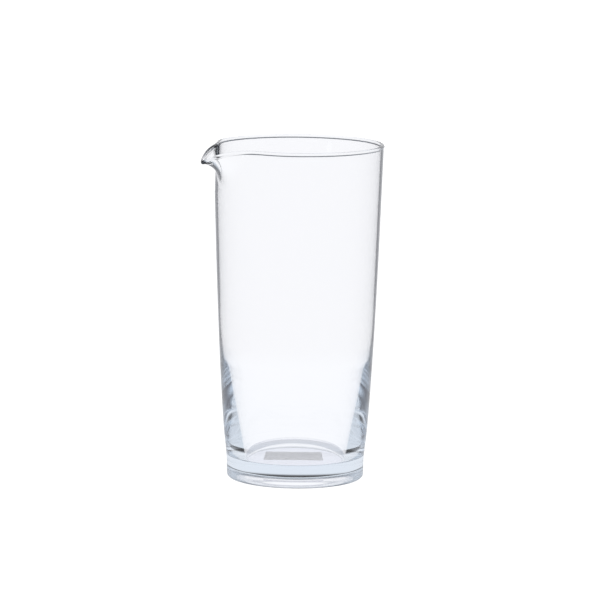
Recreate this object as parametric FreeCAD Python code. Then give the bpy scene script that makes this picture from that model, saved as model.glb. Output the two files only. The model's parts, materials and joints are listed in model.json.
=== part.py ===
import FreeCAD, Part

import math
import os

from FreeCAD import Vector

# Mixing glass, millimetres, +Z up. The origin is the middle of the foot, on the plane the glass stands
# on. The pouring spout points along -X, and the XZ plane is the plane of symmetry of the glass.

# ---- driving dimensions ----
HEIGHT = 160.0              # table to the top of the rim
RIM_RADIUS = 40.3           # outside of the wall at the rim, without the bead
UPPER_TAPER = 0.033         # growth of the radius per mm of height in the upper, conical wall
WALL = 1.3                  # glass thickness of the upper wall
BEAD_GROWTH = 0.3           # how far the melted rim stands proud of the wall on each side
BEAD_REACH = 0.8            # height over which the wall swells into the rim bead
RING_BASE = 112.0           # height where the turned body ends and the ring with the spout starts

FOOT_RADIUS = 30.6          # outer edge of the ring of glass that touches the table
HEEL_RADIUS = 2.0           # rounding between foot and wall
HEEL_TILT = 1.0             # degrees the wall leans outwards just above the heel
RECESS_RADIUS = 29.4        # inner edge of that ring
RECESS_DEPTH = 4.2          # height of the hollow under the base
RECESS_SLOPE = 2.4          # width of the rounded step into that hollow
FLOOR_HEIGHT = 10.4         # inside floor above the table
FLOOR_RADIUS = 24.0         # flat part of the inside floor
FLOOR_ROUNDING = 0.7        # rounding between floor and inside cone
CONE_TOP = (34.9, 57.5)     # (radius, height) where the inside cone meets the even wall
CONE_EXIT_TILT = 8.0        # degrees the inside wall leans outwards just above that crease

# Outside of the lower body, from above the heel to the upper wall: (radius, height).
LOWER_OUTSIDE = ((32.75, 9.0), (33.75, 19.0), (34.7, 30.0), (36.24, 55.0), (37.45, 80.0))
# Inside of the even wall, above the cone: (radius, height).
UPPER_INSIDE = ((35.8, 67.0), (36.45, 84.0))

SPOUT_BEND = 80.5           # degrees that the middle of the spout is bent outwards
SPOUT_DEPTH = 18.8          # length of wall bent in the middle of the spout
SPOUT_STRETCH = 1.04        # how much further out than a plain bend the hot glass is drawn
SPOUT_HALF_ANGLE = 40.0     # degrees from the middle of the spout to where the rim is round again
SPOUT_FLANK = 1.5           # hollowness of the flanks between the point and the shoulders, 1 being straight
SPOUT_NOSE = 1.0            # degrees over which the point of the spout is rounded at the lip
SPOUT_THROAT = 42.0         # the same at the foot of the spout, where the fold runs out
PINCH_DEPTH = 1.4           # how far the rim is drawn in on both shoulders of the spout
PINCH_ANGLE = 29.7          # degrees from the middle of the spout to the deepest point of the pinch
PINCH_WIDTH = 26.5          # degrees over which the pinch fades
PINCH_HEIGHT = 26.0         # height of wall over which the pinch fades

SPOUT_STEP = 3.0            # degrees between the ring's sections round the spout
PLAIN_STEP = 10.0           # degrees between the ring's sections elsewhere
SPOUT_SECTOR = 60.0         # half of the sector with the close sections
SIDE_POINTS = 22            # points along each side of a section
SEAM_TOLERANCE = 0.002      # largest gap closed where the ring meets the turned body

LABEL_LENGTH = 28.0
LABEL_WIDTH = 15.0
LABEL_THICKNESS = 0.12
LABEL_CORNER = 0.8
LABEL_SLIDE = -0.8          # distance of the label's middle from the axis, along its length
LABEL_SHIFT = -0.4          # the same across its length
LABEL_TURN = -29.0          # degrees the label is turned about the axis

HALF_WALL = WALL / 2.0
RING_RADIUS = RIM_RADIUS - UPPER_TAPER * (HEIGHT - RING_BASE)
CONE_DIRECTION = Vector(UPPER_TAPER, 0, 1)


# ---- the turned body: base, heel and lower wall ----

def lean(degrees):
    """Direction of a wall that leans outwards by this angle."""
    return Vector(math.sin(math.radians(degrees)), 0, math.cos(math.radians(degrees)))


def spline(points, start, end):
    curve = Part.BSplineCurve()
    curve.interpolate(Points=points, InitialTangent=start, FinalTangent=end)
    return curve.toShape()


def side_spline(points, places, start, end):
    """Spline with its points at the given parameters, so that all sections share their knots."""
    curve = Part.BSplineCurve()
    curve.interpolate(Points=points, Parameters=places, InitialTangent=start, FinalTangent=end)
    return curve.toShape()


def cone_tilt():
    """Lean of the line that leaves the floor rounding smoothly and ends at the top of the cone."""
    across = CONE_TOP[0] - FLOOR_RADIUS
    up = CONE_TOP[1] - FLOOR_HEIGHT - FLOOR_ROUNDING
    reach = math.hypot(across, up)
    return math.degrees(math.atan2(across, up) - math.asin(FLOOR_ROUNDING / reach))


def rounding(corner, radius, tilt):
    """Quarter turn from a flat face at corner into a wall that leans outwards by tilt degrees."""
    centre = corner + Vector(0, 0, radius)
    half = math.radians(90.0 - tilt) / 2.0
    end = math.radians(90.0 - tilt)
    middle = centre + Vector(math.sin(half), 0, -math.cos(half)) * radius
    return Part.Arc(corner, middle, centre + Vector(math.sin(end), 0, -math.cos(end)) * radius).toShape()


def turned_body():
    foot = Vector(FOOT_RADIUS, 0, 0)
    heel = rounding(foot, HEEL_RADIUS, HEEL_TILT)
    outside = [heel.valueAt(heel.LastParameter)]
    outside += [Vector(radius, 0, height) for radius, height in LOWER_OUTSIDE]
    outside += [Vector(RING_RADIUS, 0, RING_BASE)]

    floor_edge = Vector(FLOOR_RADIUS, 0, FLOOR_HEIGHT)
    floor_rounding = rounding(floor_edge, FLOOR_ROUNDING, cone_tilt())
    cone_low = floor_rounding.valueAt(floor_rounding.LastParameter)
    cone_high = Vector(CONE_TOP[0], 0, CONE_TOP[1])
    inside = [cone_high]
    inside += [Vector(radius, 0, height) for radius, height in UPPER_INSIDE]
    inside += [Vector(RING_RADIUS - WALL, 0, RING_BASE)]

    axis_low = Vector(0, 0, RECESS_DEPTH)
    axis_high = Vector(0, 0, FLOOR_HEIGHT)
    step_low = Vector(RECESS_RADIUS, 0, 0)
    step_high = Vector(RECESS_RADIUS - RECESS_SLOPE, 0, RECESS_DEPTH)
    third = Vector(RECESS_SLOPE / 3.0, 0, 0)
    step = Part.BezierCurve()
    step.setPoles([step_high, step_high + third, step_low - third, step_low])
    edges = [
        Part.LineSegment(axis_high, axis_low).toShape(),
        Part.LineSegment(axis_low, step_high).toShape(),
        step.toShape(),
        Part.LineSegment(step_low, foot).toShape(),
        heel,
        spline(outside, lean(HEEL_TILT), CONE_DIRECTION),
        Part.LineSegment(outside[-1], inside[-1]).toShape(),
        spline(inside, lean(CONE_EXIT_TILT), CONE_DIRECTION),
        Part.LineSegment(cone_high, cone_low).toShape(),
        floor_rounding,
        Part.LineSegment(floor_edge, axis_high).toShape(),
    ]
    profile = Part.Face(Part.Wire(Part.__sortEdges__(edges)))
    return profile.revolve(Vector(0, 0, 0), Vector(0, 0, 1), 360)


# ---- the ring: upper wall, rim bead and spout, lofted round the axis ----

def smoothstep(x):
    x = min(max(x, 0.0), 1.0)
    return x * x * (3.0 - 2.0 * x)


def spout_share(angle, nose):
    """1 in the middle of the spout, 0 where the rim is round again; nose is the rounding in degrees."""
    def rounded(turn):
        return math.hypot(turn, nose) - nose
    return max(0.0, 1.0 - rounded(angle) / rounded(SPOUT_HALF_ANGLE)) ** SPOUT_FLANK


def pinch(angle, height):
    """Inward shift of the wall on the shoulders of the spout."""
    off_centre = min(abs(abs(angle) - PINCH_ANGLE) / PINCH_WIDTH, 1.0)
    across = (1.0 + math.cos(math.pi * off_centre)) / 2.0
    return PINCH_DEPTH * across * smoothstep((height - HEIGHT) / PINCH_HEIGHT + 1.0)


def ring_section(angle):
    """Closed section of the wall at this angle from the spout, in its own upright plane."""
    end_half = HALF_WALL + BEAD_GROWTH
    length = HEIGHT - end_half - RING_BASE
    bend_radius = SPOUT_DEPTH / math.radians(SPOUT_BEND)
    # the points lie closer together towards the lip
    places = [length * (1.0 - (1.0 - i / (SIDE_POINTS - 1)) ** 2) for i in range(SIDE_POINTS)]
    outer = []
    inner = []
    for along in places:
        nose = SPOUT_NOSE + (SPOUT_THROAT - SPOUT_NOSE) * min((length - along) / SPOUT_DEPTH, 1.0)
        straight = length - SPOUT_DEPTH * spout_share(angle, nose)
        # above its straight part the middle line of the wall bends outwards along an arc
        bend = max(along - straight, 0.0) / bend_radius
        out = SPOUT_STRETCH * bend_radius * (1.0 - math.cos(bend))
        height = RING_BASE + min(along, straight) + bend_radius * math.sin(bend)
        radius = RING_RADIUS - HALF_WALL + UPPER_TAPER * (height - RING_BASE) + out - pinch(angle, height)
        half = HALF_WALL + BEAD_GROWTH * math.exp(-((length - along) / BEAD_REACH) ** 2)
        middle = Vector(radius, 0, height)
        across = Vector(math.cos(bend), 0, -math.sin(bend)) * half
        outer.append(middle + across)
        inner.append(middle - across)
    lip = Vector(math.sin(bend), 0, math.cos(bend))
    crown = middle + lip * end_half
    edges = [
        side_spline(outer, places, CONE_DIRECTION, lip),
        Part.Arc(outer[-1], crown, inner[-1]).toShape(),
        side_spline(inner, places, CONE_DIRECTION, lip).reversed(),
        Part.LineSegment(inner[0], outer[0]).toShape(),
    ]
    section = Part.Wire(edges)
    section.rotate(Vector(0, 0, 0), Vector(0, 0, 1), 180.0 + angle)
    return section


def section_angles():
    """Angles from the spout, all the way round, starting opposite the spout."""
    plain = int((180.0 - SPOUT_SECTOR) / PLAIN_STEP)
    close = int(2.0 * SPOUT_SECTOR / SPOUT_STEP)
    first = [-180.0 + i * PLAIN_STEP for i in range(plain)]
    spout = [-SPOUT_SECTOR + i * SPOUT_STEP for i in range(close)]
    last = [SPOUT_SECTOR + i * PLAIN_STEP for i in range(plain)]
    return first + spout + last


def spouted_ring():
    sections = [ring_section(angle) for angle in section_angles()]
    return Part.makeLoft(sections, True, False, True)


def glass_vessel():
    return turned_body().fuse([spouted_ring()], SEAM_TOLERANCE)


# ---- the label under the base ----

def base_label():
    low_corner = Vector(LABEL_SLIDE - LABEL_LENGTH / 2.0, LABEL_SHIFT - LABEL_WIDTH / 2.0,
                        RECESS_DEPTH - LABEL_THICKNESS)
    sheet = Part.makeBox(LABEL_LENGTH, LABEL_WIDTH, LABEL_THICKNESS, low_corner)
    upright = [edge for edge in sheet.Edges if edge.tangentAt(edge.FirstParameter).z ** 2 > 0.5]
    label = sheet.makeFillet(LABEL_CORNER, upright)
    label.rotate(Vector(0, 0, 0), Vector(0, 0, 1), LABEL_TURN)
    return label


def main():
    os.makedirs("parts", exist_ok=True)
    nodes = {
        "glass_vessel": glass_vessel(),
        "base_label": base_label(),
    }
    for name, shape in nodes.items():
        shape.exportStep(os.path.join("parts", name + ".step"))
        box = shape.BoundBox
        print(name, "valid", shape.isValid(), "solids", len(shape.Solids), "faces", len(shape.Faces),
              "volume", round(shape.Volume, 1),
              "x", round(box.XMin, 2), round(box.XMax, 2),
              "y", round(box.YMin, 2), round(box.YMax, 2),
              "z", round(box.ZMin, 3), round(box.ZMax, 3))


main()
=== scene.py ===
import json
import math

import bpy
import numpy as np
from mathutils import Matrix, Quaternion, Vector


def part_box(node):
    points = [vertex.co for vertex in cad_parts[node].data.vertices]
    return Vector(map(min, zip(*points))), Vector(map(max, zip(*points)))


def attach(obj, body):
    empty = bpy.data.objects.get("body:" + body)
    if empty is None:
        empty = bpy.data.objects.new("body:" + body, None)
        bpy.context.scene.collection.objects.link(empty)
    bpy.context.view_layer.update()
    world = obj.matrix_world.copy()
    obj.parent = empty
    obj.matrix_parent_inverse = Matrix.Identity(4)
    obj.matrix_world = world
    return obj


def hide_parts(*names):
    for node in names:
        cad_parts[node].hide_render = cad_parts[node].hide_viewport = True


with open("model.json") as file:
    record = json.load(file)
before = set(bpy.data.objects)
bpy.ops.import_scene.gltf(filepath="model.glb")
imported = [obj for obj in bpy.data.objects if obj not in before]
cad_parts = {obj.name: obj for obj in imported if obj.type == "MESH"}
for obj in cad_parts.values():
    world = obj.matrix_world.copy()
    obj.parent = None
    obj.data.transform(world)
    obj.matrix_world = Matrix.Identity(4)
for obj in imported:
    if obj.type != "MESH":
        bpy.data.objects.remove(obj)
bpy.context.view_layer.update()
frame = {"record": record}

# The mixing glass in metres, +Z up, standing on z = 0, with its spout along -X. The lengths below are
# in millimetres, as the part is dimensioned, and are turned into metres when a mesh is made.
MM = 0.001
label_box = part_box("base_label")
rim_seat = next(mount for mount in frame["record"]["mounts"] if mount["name"] == "rim_seat")

# ---- dimensions of the glass (mm, degrees) ----
HEIGHT = rim_seat["pos_m"][2] / MM   # table to the top of the rim
WALL = 1.3                          # thickness of the upper wall
BEAD_GROWTH = 0.3                   # how far the melted rim stands proud of the wall on each side
BEAD_CREASE = 14.0                  # how sharply the bead meets the wall
RIM_RADIUS = 40.3
UPPER_TAPER = 0.033                 # growth of the radius per mm of height in the upper wall
RING_BASE = 112.0                   # height where the even, conical wall starts

FOOT_RADIUS = 30.6                  # outer edge of the ring of glass that touches the table
HEEL_RADIUS = 2.0                   # rounding between foot and wall
HEEL_TILT = 1.0                     # degrees the wall leans outwards just above the heel
RECESS_RADIUS = 29.4                # inner edge of that ring
RECESS_DEPTH = 4.2                  # height of the hollow under the base
RECESS_SLOPE = 2.4                  # width of the rounded step into that hollow
FLOOR_HEIGHT = 10.4                 # inside floor above the table
FLOOR_RADIUS = 24.0                 # flat part of the inside floor
FLOOR_ROUNDING = 0.7                # rounding between floor and inside cone
CONE_TOP = (34.9, 57.5)             # (radius, height) where the inside cone meets the even wall
CONE_EXIT_TILT = 8.0                # degrees the inside wall leans outwards just above that crease

# Outside of the lower body, from above the heel to the upper wall, and inside of the even wall.
LOWER_OUTSIDE = ((32.75, 9.0), (33.75, 19.0), (34.7, 30.0), (36.24, 55.0), (37.45, 80.0))
UPPER_INSIDE = ((35.8, 67.0), (36.45, 84.0))

SPOUT_BEND = 80.5                   # degrees that the middle of the spout is bent outwards
SPOUT_DEPTH = 18.8                  # length of wall bent in the middle of the spout
SPOUT_STRETCH = 1.04                # how much further out than a plain bend the hot glass is drawn
SPOUT_HALF_ANGLE = 40.0             # degrees from the middle of the spout to where the rim is round again
SPOUT_FLANK = 1.5                   # hollowness of the flanks, 1 being straight
SPOUT_NOSE = 1.0                    # degrees over which the point of the spout is rounded at the lip
SPOUT_THROAT = 42.0                 # the same at the foot of the spout, where the fold runs out
PINCH_DEPTH = 1.4                   # how far the rim is drawn in on both shoulders of the spout
PINCH_ANGLE = 29.7                  # degrees from the middle of the spout to the deepest of the pinch
PINCH_WIDTH = 26.5                  # degrees over which the pinch fades
PINCH_HEIGHT = 26.0                 # height of wall over which the pinch fades

HALF_WALL = WALL / 2.0
SPAN_SAMPLES = 12                   # samples to each span of the curved outlines

# ---- label under the base (mm, degrees) ----
LABEL_LENGTH = 28.0
LABEL_WIDTH = 15.0
LABEL_CORNER = 0.8
LABEL_TURN = -29.0
LABEL_SHIFT = (-0.8, -0.4)          # middle of the label from the axis, along its length and across it
LABEL_GAP = 0.02                    # air between the paper and the glass, so that no faces coincide
label_low = label_box[0][2]
label_high = (RECESS_DEPTH - LABEL_GAP) * MM

# ---- surface detail (metres, and repeats per metre) ----
WAVE_SCALE = 55.0                   # faint waviness of blown glass, some 18 mm across
WAVE_STRETCH = 0.3                  # drawn out upwards, along the wall
WAVE_HEIGHT = 0.000008
SCUFF_SCALE = 900.0                 # fine scuffs of the ring that stands on the table
SCUFF_HEIGHT = 0.0008
SCUFF_ROUGHNESS = 0.35
PULP_SCALE = 350.0                  # cloudiness of the paper, some 3 mm across
FIBRE_SCALE = 2600.0                # paper fibres, some 0.4 mm across
FIBRE_HEIGHT = 0.00001
PAPER_DARK = (0.74, 0.73, 0.77)
PAPER_LIGHT = (0.84, 0.83, 0.86)
PAPER_ROUGHNESS = (0.62, 0.78)

# ---- glass (no unit, and absorption per metre) ----
GLASS_IOR = 1.52
GLASS_TINT = (0.80, 0.90, 1.0)
GLASS_DENSITY = 6.0

# ---- stage ----
# The camera sees a white table and room. Light that has been in the glass, or was mirrored by it, sees
# darker values that stand for black cards: by radius on the table, in metres, and by height of the
# direction in the room, from 0 at the horizon to 1 straight up.
FLOOR_SIZE = 8.0
FLOOR_DROP = 0.0001                 # floor below the foot, so that no faces coincide
WHITE = (1.13, 1.13, 1.13)
THROUGH = (0.99, 0.995, 1.025)      # seen straight through the glass
UNDER_GLASS = (0.76, 0.78, 0.88)    # shaded table under the foot
UNDER_EDGE = (0.028, 0.034)         # radii between which that shade ends
OUTSIDE_MIRROR = (0.80, 0.81, 0.84)     # table mirrored by the outside of the glass
BRIGHT_CARD = (0.66, 0.72, 0.80)
GREY_CARD = (0.12, 0.13, 0.15)
MIRRORED_TABLE = ((0.0, BRIGHT_CARD), (0.12, BRIGHT_CARD), (0.24, GREY_CARD),
                  (0.36, (0.03, 0.033, 0.045)), (0.65, (0.06, 0.063, 0.08)))
MIRRORED_ROOM = ((0.0, BRIGHT_CARD), (0.05, (0.10, 0.105, 0.125)), (0.165, (0.10, 0.105, 0.125)),
                 (0.265, (0.62, 0.68, 0.76)), (0.42, (0.62, 0.68, 0.76)), (0.52, GREY_CARD))
EDGE_RISE = (0.06, 0.30)            # heights between which the room darkens through one wall
DEEP_RISE = (0.25, 0.50)            # the same through more than one
DEEP_ROOM = (0.56, 0.58, 0.64)
ROOM_LIGHT = (0.85, 0.85, 0.87)     # light on matt surfaces
STRIP_RADIUS = 0.034                # strip of light round the foot, hidden from the camera
STRIP_HEIGHT = 0.012
STRIP_LIGHT = (0.80, 0.84, 0.90)
STRIP_DARK = (0.03, 0.032, 0.035)
STRIP_EDGE = (0.0028, 0.0042)       # distances from its middle between which it darkens
STRIP_SIDES = 180
ONE_WALL = 2.0                      # glass surfaces crossed on the way in and out of one wall
BOUNCES = 32

# ---- camera (metres, degrees, mm for lens and sensor) ----
CAMERA_AZIMUTH = -29.0
CAMERA_DISTANCE = 2.0
CAMERA_HEIGHT = 0.3918
AIM_SIDE = -0.0007
AIM_HEIGHT = 0.0873
CAMERA_LENS = 259.4
CAMERA_REACH = 50.0
SENSOR = 36.0
CAMERA_ROLL = 0.66


# ---- the outline of the glass ----

def clamped_spline(points, start, end, per_span):
    """Smooth curve through the points with given end directions, per_span samples to each span."""
    points = np.array(points, float)
    chord = np.linalg.norm(np.diff(points, axis=0), axis=1)
    count = len(points)
    system = np.eye(count)
    right = np.zeros((count, 2))
    right[0] = np.array(start) / np.linalg.norm(start)
    right[-1] = np.array(end) / np.linalg.norm(end)
    for i in range(1, count - 1):
        system[i, i - 1] = chord[i]
        system[i, i] = 2.0 * (chord[i - 1] + chord[i])
        system[i, i + 1] = chord[i - 1]
        before = (points[i] - points[i - 1]) / chord[i - 1]
        after = (points[i + 1] - points[i]) / chord[i]
        right[i] = 3.0 * (chord[i] * before + chord[i - 1] * after)
    slopes = np.linalg.solve(system, right)
    samples = []
    for i in range(count - 1):
        for t in np.arange(per_span) / per_span:
            a = 2 * t ** 3 - 3 * t ** 2 + 1
            b = t ** 3 - 2 * t ** 2 + t
            c = 3 * t ** 2 - 2 * t ** 3
            d = t ** 3 - t ** 2
            samples.append(a * points[i] + b * chord[i] * slopes[i]
                           + c * points[i + 1] + d * chord[i] * slopes[i + 1])
    samples.append(points[-1])
    return np.array(samples)


def lean(degrees):
    return (math.sin(math.radians(degrees)), math.cos(math.radians(degrees)))


def rounding(corner, radius, tilt, count):
    """Arc from a flat face at corner into a wall that leans outwards by tilt degrees."""
    turn = np.radians(np.linspace(0.0, 90.0 - tilt, count))
    return np.stack([corner[0] + radius * np.sin(turn), corner[1] + radius * (1.0 - np.cos(turn))], 1)


def cone_tilt():
    """Lean of the straight line that is tangent to the floor rounding and ends at the top of the cone."""
    across = CONE_TOP[0] - FLOOR_RADIUS
    up = CONE_TOP[1] - FLOOR_HEIGHT - FLOOR_ROUNDING
    reach = math.hypot(across, up)
    return math.degrees(math.atan2(across, up) - math.asin(FLOOR_ROUNDING / reach))


def smoothstep(x):
    x = np.clip(x, 0.0, 1.0)
    return x * x * (3.0 - 2.0 * x)


def body_outline():
    """(radius, height) points of the turned part: under the base and up the outside, and up the inside."""
    ring_radius = RIM_RADIUS - UPPER_TAPER * (HEIGHT - RING_BASE)
    step = np.linspace(0.0, 1.0, 13)
    under = [(r, RECESS_DEPTH) for r in (6.0, 12.0, 17.0, 20.0)]
    under += [(RECESS_RADIUS - RECESS_SLOPE * (1.0 - s), RECESS_DEPTH * (1.0 - smoothstep(s))) for s in step]
    under += [(RECESS_RADIUS + (FOOT_RADIUS - RECESS_RADIUS) * t, 0.0) for t in (0.25, 0.5, 0.75)]
    heel = rounding((FOOT_RADIUS, 0.0), HEEL_RADIUS, HEEL_TILT, 16)
    outside = clamped_spline([heel[-1], *LOWER_OUTSIDE, (ring_radius, RING_BASE)],
                             lean(HEEL_TILT), (UPPER_TAPER, 1.0), SPAN_SAMPLES)
    lower_outer = np.concatenate([under, heel, outside[1:-1]])
    edge = rounding((FLOOR_RADIUS, FLOOR_HEIGHT), FLOOR_ROUNDING, cone_tilt(), 14)
    cone = np.linspace(edge[-1], CONE_TOP, 24)
    inside = clamped_spline([CONE_TOP, *UPPER_INSIDE, (ring_radius - WALL, RING_BASE)],
                            lean(CONE_EXIT_TILT), (UPPER_TAPER, 1.0), SPAN_SAMPLES)
    floor = [(r, FLOOR_HEIGHT) for r in (6.0, 12.0, 18.0, 22.0)]
    lower_inner = np.concatenate([floor, edge, cone[1:-1], inside[:-1]])
    return lower_outer, lower_inner


def spout_share(angle, nose):
    """1 in the middle of the spout, 0 where the rim is round again; nose is the rounding in degrees."""
    def rounded(turn):
        return np.hypot(turn, nose) - nose
    return np.maximum(0.0, 1.0 - rounded(angle) / rounded(SPOUT_HALF_ANGLE)) ** SPOUT_FLANK


def ring_outline(angle, side_points=60, bead_points=17):
    """(radius, height) points up the outside, over the rim and down, at this angle from the spout."""
    end_half = HALF_WALL + BEAD_GROWTH
    length = HEIGHT - end_half - RING_BASE
    along = length * (1.0 - (1.0 - np.linspace(0.0, 1.0, side_points)) ** 2)
    below = np.minimum((length - along) / SPOUT_DEPTH, 1.0)
    nose = SPOUT_NOSE + (SPOUT_THROAT - SPOUT_NOSE) * below
    straight = length - SPOUT_DEPTH * spout_share(angle, nose)
    bend_radius = SPOUT_DEPTH / math.radians(SPOUT_BEND)
    bend = np.maximum(along - straight, 0.0) / bend_radius
    out = SPOUT_STRETCH * bend_radius * (1.0 - np.cos(bend))
    height = RING_BASE + np.minimum(along, straight) + bend_radius * np.sin(bend)
    off_centre = min(abs(abs(angle) - PINCH_ANGLE) / PINCH_WIDTH, 1.0)
    across = (1.0 + math.cos(math.pi * off_centre)) / 2.0
    pinch = PINCH_DEPTH * across * smoothstep((height - HEIGHT) / PINCH_HEIGHT + 1.0)
    cone = RIM_RADIUS - UPPER_TAPER * (HEIGHT - height)
    radius = cone - HALF_WALL + out - pinch
    bead = np.sqrt(np.maximum(end_half ** 2 - (length - along) ** 2, 0.0))
    half = (HALF_WALL ** BEAD_CREASE + bead ** BEAD_CREASE) ** (1.0 / BEAD_CREASE)
    half = half * (end_half / half[-1]) ** (bead / end_half)
    outer = np.stack([radius + half * np.cos(bend), height - half * np.sin(bend)], 1)
    inner = np.stack([radius - half * np.cos(bend), height + half * np.sin(bend)], 1)
    turn = np.linspace(0.0, math.pi, bead_points)[1:-1]
    tip = bend[-1]
    bead_radius = radius[-1] + end_half * (np.cos(turn) * math.cos(tip) + np.sin(turn) * math.sin(tip))
    bead_height = height[-1] + end_half * (np.sin(turn) * math.cos(tip) - np.cos(turn) * math.sin(tip))
    return np.concatenate([outer, np.stack([bead_radius, bead_height], 1), inner[::-1]])


def turning_angles():
    """Angles from the spout all the way round, closer together where the spout bends."""
    fine = np.arange(-6.0, 6.0, 0.5)
    spout = np.arange(6.0, 60.0, 1.0)
    plain = np.arange(60.0, 180.0, 1.5)
    return np.concatenate([-180.0 + 1.5 * np.arange(80), -60.0 + np.arange(54), fine, spout, plain])


def glass_mesh():
    lower_outer, lower_inner = body_outline()
    angles = turning_angles()
    rings = []
    for angle in angles:
        line = np.concatenate([lower_outer, ring_outline(angle), lower_inner[::-1]])
        turn = math.radians(180.0 + angle)
        rings.append(np.stack([line[:, 0] * math.cos(turn), line[:, 0] * math.sin(turn), line[:, 1]], 1))
    rings = np.array(rings) * MM
    columns, rows = rings.shape[:2]
    verts = [tuple(v) for v in rings.reshape(-1, 3)]
    bottom = len(verts)
    verts += [(0.0, 0.0, RECESS_DEPTH * MM), (0.0, 0.0, FLOOR_HEIGHT * MM)]
    faces = []
    for i in range(columns):
        here = i * rows
        there = ((i + 1) % columns) * rows
        faces += [(here + j, there + j, there + j + 1, here + j + 1) for j in range(rows - 1)]
        faces.append((bottom, there, here))
        faces.append((bottom + 1, here + rows - 1, there + rows - 1))
    mesh = bpy.data.meshes.new("glass_vessel_blown")
    mesh.from_pydata(verts, [], faces)
    mesh.polygons.foreach_set("use_smooth", [True] * len(faces))
    mesh.update()
    return mesh


def label_mesh():
    """Flat sheet with rounded corners, a hair below the glass it is stuck to."""
    low, high = label_low, label_high
    half = (LABEL_LENGTH / 2.0 - LABEL_CORNER, LABEL_WIDTH / 2.0 - LABEL_CORNER)
    outline = []
    for quarter in range(4):
        sign = ((1, 1), (-1, 1), (-1, -1), (1, -1))[quarter]
        for step in range(7):
            turn = math.radians(90.0 * quarter + 15.0 * step)
            outline.append((sign[0] * half[0] + LABEL_CORNER * math.cos(turn) + LABEL_SHIFT[0],
                            sign[1] * half[1] + LABEL_CORNER * math.sin(turn) + LABEL_SHIFT[1]))
    face = math.radians(LABEL_TURN)
    verts = []
    for height in (low, high):
        for x, y in outline:
            verts.append(((x * math.cos(face) - y * math.sin(face)) * MM,
                          (x * math.sin(face) + y * math.cos(face)) * MM, height))
    count = len(outline)
    faces = [tuple(reversed(range(count))), tuple(range(count, 2 * count))]
    faces += [(i, (i + 1) % count, count + (i + 1) % count, count + i) for i in range(count)]
    mesh = bpy.data.meshes.new("base_label_paper")
    mesh.from_pydata(verts, [], faces)
    mesh.update()
    return mesh


def link(name, data):
    made = bpy.data.objects.new(name, data)
    bpy.context.scene.collection.objects.link(made)
    return made


# ---- materials ----

def new_material(name):
    material = bpy.data.materials.new(name)
    material.use_nodes = True
    material.node_tree.nodes.clear()
    return material, material.node_tree.nodes, material.node_tree.links


def combine(nodes, links, operation, first, second=0.0):
    """One maths node; each input is a number or a socket."""
    step = nodes.new("ShaderNodeMath")
    step.operation = operation
    for socket, value in zip(step.inputs, (first, second)):
        if isinstance(value, float):
            socket.default_value = value
        else:
            links.new(value, socket)
    return step.outputs[0]


def mix_colour(nodes, links, factor, first, second):
    mix = nodes.new("ShaderNodeMix")
    mix.data_type = "RGBA"
    links.new(factor, mix.inputs[0])
    for socket, value in ((mix.inputs[6], first), (mix.inputs[7], second)):
        if isinstance(value, tuple):
            socket.default_value = (*value, 1.0)
        else:
            links.new(value, socket)
    return mix.outputs[2]


def map_range(nodes, links, value, source, target):
    """Smooth change from the first to the second target as the value crosses the source range."""
    step = nodes.new("ShaderNodeMapRange")
    step.interpolation_type = "SMOOTHSTEP"
    step.inputs["From Min"].default_value, step.inputs["From Max"].default_value = source
    step.inputs["To Min"].default_value, step.inputs["To Max"].default_value = target
    links.new(value, step.inputs["Value"])
    return step.outputs["Result"]


def object_height(nodes, links):
    """Place on the piece in metres, and the height above the table."""
    place = nodes.new("ShaderNodeTexCoord")
    split = nodes.new("ShaderNodeSeparateXYZ")
    links.new(place.outputs["Object"], split.inputs["Vector"])
    return place.outputs["Object"], split.outputs["Z"]


def noise(nodes, links, place, scale, detail):
    grain = nodes.new("ShaderNodeTexNoise")
    grain.inputs["Scale"].default_value = scale
    grain.inputs["Detail"].default_value = detail
    links.new(place, grain.inputs["Vector"])
    return grain.outputs["Fac"]


def bump(nodes, links, height, distance):
    """Surface normal of a relief this many metres high."""
    relief = nodes.new("ShaderNodeBump")
    relief.inputs["Distance"].default_value = distance
    links.new(height, relief.inputs["Height"])
    return relief.outputs["Normal"]


def glass_material():
    material, nodes, links = new_material("clear_glass")
    out = nodes.new("ShaderNodeOutputMaterial")
    shader = nodes.new("ShaderNodeBsdfPrincipled")
    shader.inputs["Base Color"].default_value = (1.0, 1.0, 1.0, 1.0)
    shader.inputs["Transmission Weight"].default_value = 1.0
    shader.inputs["IOR"].default_value = GLASS_IOR
    place, height = object_height(nodes, links)
    scuffs = noise(nodes, links, place, SCUFF_SCALE, 4.0)
    near_table = map_range(nodes, links, height, (0.0, SCUFF_HEIGHT), (SCUFF_ROUGHNESS, 0.0))
    links.new(combine(nodes, links, "MULTIPLY", near_table, scuffs), shader.inputs["Roughness"])
    drawn = nodes.new("ShaderNodeMapping")
    drawn.inputs["Scale"].default_value = (1.0, 1.0, WAVE_STRETCH)
    links.new(place, drawn.inputs["Vector"])
    waves = noise(nodes, links, drawn.outputs["Vector"], WAVE_SCALE, 1.0)
    links.new(bump(nodes, links, waves, WAVE_HEIGHT), shader.inputs["Normal"])
    links.new(shader.outputs["BSDF"], out.inputs["Surface"])
    absorb = nodes.new("ShaderNodeVolumeAbsorption")
    absorb.inputs["Color"].default_value = (*GLASS_TINT, 1.0)
    absorb.inputs["Density"].default_value = GLASS_DENSITY
    links.new(absorb.outputs["Volume"], out.inputs["Volume"])
    return material


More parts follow.
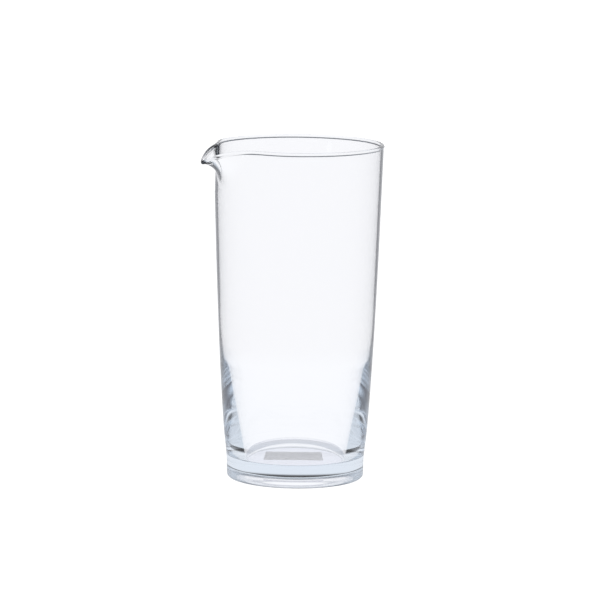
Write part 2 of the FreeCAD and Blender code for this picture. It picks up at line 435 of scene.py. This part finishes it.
def paper_material():
    material, nodes, links = new_material("label_paper")
    out = nodes.new("ShaderNodeOutputMaterial")
    shader = nodes.new("ShaderNodeBsdfPrincipled")
    place, height = object_height(nodes, links)
    pulp = noise(nodes, links, place, PULP_SCALE, 3.0)
    fibres = noise(nodes, links, place, FIBRE_SCALE, 2.0)
    links.new(mix_colour(nodes, links, pulp, PAPER_DARK, PAPER_LIGHT), shader.inputs["Base Color"])
    links.new(map_range(nodes, links, fibres, (0.0, 1.0), PAPER_ROUGHNESS), shader.inputs["Roughness"])
    links.new(bump(nodes, links, fibres, FIBRE_HEIGHT), shader.inputs["Normal"])
    links.new(shader.outputs["BSDF"], out.inputs["Surface"])
    return material


# ---- the pieces ----
vessel = link("glass_vessel_blown", glass_mesh())
vessel.data.materials.append(glass_material())
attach(vessel, "root")
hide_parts("glass_vessel")

label = link("base_label_paper", label_mesh())
label.data.materials.append(paper_material())
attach(label, "root")
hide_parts("base_label")

# ---- the stage ----

def mirrored_share(nodes, links, surfaces=ONE_WALL):
    """The Light Path node, and 1 for light reflected after this many glass surfaces, otherwise 0."""
    path = nodes.new("ShaderNodeLightPath")
    reflected = combine(nodes, links, "MINIMUM", path.outputs["Glossy Depth"], 1.0)
    in_and_out = combine(nodes, links, "COMPARE", path.outputs["Transmission Depth"], surfaces)
    return path, combine(nodes, links, "MULTIPLY", reflected, in_and_out)


def colour_ramp(nodes, links, place, stops):
    ramp = nodes.new("ShaderNodeValToRGB")
    while len(ramp.color_ramp.elements) < len(stops):
        ramp.color_ramp.elements.new(1.0)
    for element, (position, colour) in zip(ramp.color_ramp.elements, stops):
        element.position = position
        element.color = (*colour, 1.0)
    links.new(place, ramp.inputs["Fac"])
    return ramp.outputs["Color"]


def floor_material():
    material, nodes, links = new_material("pale_table")
    out = nodes.new("ShaderNodeOutputMaterial")
    glow = nodes.new("ShaderNodeEmission")
    place = nodes.new("ShaderNodeTexCoord")
    length = nodes.new("ShaderNodeVectorMath")
    length.operation = "LENGTH"
    links.new(place.outputs["Object"], length.inputs[0])
    mirrored = colour_ramp(nodes, links, length.outputs["Value"], MIRRORED_TABLE)
    path, share = mirrored_share(nodes, links)
    outside = mirrored_share(nodes, links, 0.0)[1]
    under = map_range(nodes, links, length.outputs["Value"], UNDER_EDGE, (1.0, 0.0))
    through = mix_colour(nodes, links, under, THROUGH, UNDER_GLASS)
    beyond = mix_colour(nodes, links, outside, through, OUTSIDE_MIRROR)
    beyond = mix_colour(nodes, links, share, beyond, mirrored)
    links.new(mix_colour(nodes, links, path.outputs["Is Camera Ray"], beyond, WHITE), glow.inputs["Color"])
    links.new(glow.outputs["Emission"], out.inputs["Surface"])
    return material


def strip_material():
    """A strip of light between two dark edges, seen only by light that has been in the glass once."""
    material, nodes, links = new_material("strip_light")
    out = nodes.new("ShaderNodeOutputMaterial")
    clear = nodes.new("ShaderNodeBsdfTransparent")
    glow = nodes.new("ShaderNodeEmission")
    from_middle = combine(nodes, links, "ABSOLUTE", object_height(nodes, links)[1])
    edge_share = map_range(nodes, links, from_middle, STRIP_EDGE, (0.0, 1.0))
    links.new(mix_colour(nodes, links, edge_share, STRIP_LIGHT, STRIP_DARK), glow.inputs["Color"])
    path = nodes.new("ShaderNodeLightPath")
    in_and_out = combine(nodes, links, "COMPARE", path.outputs["Transmission Depth"], ONE_WALL)
    mix = nodes.new("ShaderNodeMixShader")
    links.new(in_and_out, mix.inputs[0])
    links.new(clear.outputs[0], mix.inputs[1])
    links.new(glow.outputs[0], mix.inputs[2])
    links.new(mix.outputs[0], out.inputs["Surface"])
    return material


def studio_world():
    """A soft room all round, white to the camera and with dark cards overhead for light from the glass."""
    world = bpy.data.worlds.new("studio")
    world.use_nodes = True
    nodes, links = world.node_tree.nodes, world.node_tree.links
    background = nodes["Background"]
    place = nodes.new("ShaderNodeTexCoord")
    split = nodes.new("ShaderNodeSeparateXYZ")
    links.new(place.outputs["Generated"], split.inputs[0])
    height = split.outputs["Z"]
    path, share = mirrored_share(nodes, links)
    refracted = combine(nodes, links, "COMPARE", path.outputs["Glossy Depth"], 0.0)
    one_wall = combine(nodes, links, "LESS_THAN", path.outputs["Transmission Depth"], ONE_WALL + 0.5)
    through_edge = combine(nodes, links, "MULTIPLY", refracted, one_wall)
    edge_rise = map_range(nodes, links, height, EDGE_RISE, (0.0, 1.0))
    edge_share = combine(nodes, links, "MULTIPLY", through_edge, edge_rise)
    deep_rise = map_range(nodes, links, height, DEEP_RISE, (0.0, 1.0))
    seen = mix_colour(nodes, links, deep_rise, THROUGH, DEEP_ROOM)
    seen = mix_colour(nodes, links, edge_share, seen, GREY_CARD)
    turned = colour_ramp(nodes, links, height, MIRRORED_ROOM)
    beyond = mix_colour(nodes, links, share, seen, turned)
    matt = combine(nodes, links, "MINIMUM", path.outputs["Diffuse Depth"], 1.0)
    lit = mix_colour(nodes, links, matt, beyond, ROOM_LIGHT)
    links.new(mix_colour(nodes, links, path.outputs["Is Camera Ray"], lit, WHITE), background.inputs["Color"])
    background.inputs["Strength"].default_value = 1.0
    return world


bpy.ops.mesh.primitive_plane_add(size=FLOOR_SIZE, location=(0.0, 0.0, -FLOOR_DROP))
floor = bpy.context.object
floor.name = "floor"
floor.data.materials.append(floor_material())

bpy.ops.mesh.primitive_cylinder_add(vertices=STRIP_SIDES, radius=STRIP_RADIUS, depth=STRIP_HEIGHT,
                                    end_fill_type="NOTHING", location=(0.0, 0.0, STRIP_HEIGHT / 2.0))
strip = bpy.context.object
strip.name = "light_strip"
strip.data.materials.append(strip_material())
strip.visible_camera = False
strip.visible_shadow = False
for face in strip.data.polygons:
    face.use_smooth = True

bpy.context.scene.world = studio_world()
cycles = bpy.context.scene.cycles
cycles.max_bounces = BOUNCES
cycles.glossy_bounces = BOUNCES
cycles.transmission_bounces = BOUNCES

# ---- camera ----
camera_data = bpy.data.cameras.new("camera")
camera_data.sensor_width = SENSOR
camera_data.lens = CAMERA_LENS
camera_data.clip_end = CAMERA_REACH
camera = link("camera", camera_data)
azimuth = math.radians(CAMERA_AZIMUTH)
right = Vector((math.cos(azimuth), math.sin(azimuth), 0.0))
toward = Vector((-math.sin(azimuth), math.cos(azimuth), 0.0))
camera.location = -CAMERA_DISTANCE * toward + Vector((0.0, 0.0, CAMERA_HEIGHT))
aim = AIM_SIDE * right + Vector((0.0, 0.0, AIM_HEIGHT))
look = (aim - camera.location).to_track_quat("-Z", "Y")
camera.rotation_mode = "QUATERNION"
own_axis = Vector((0.0, 0.0, 1.0))
camera.rotation_quaternion = look @ Quaternion(own_axis, math.radians(CAMERA_ROLL))
bpy.context.scene.camera = camera

bpy.context.scene.view_settings.view_transform = "Standard"
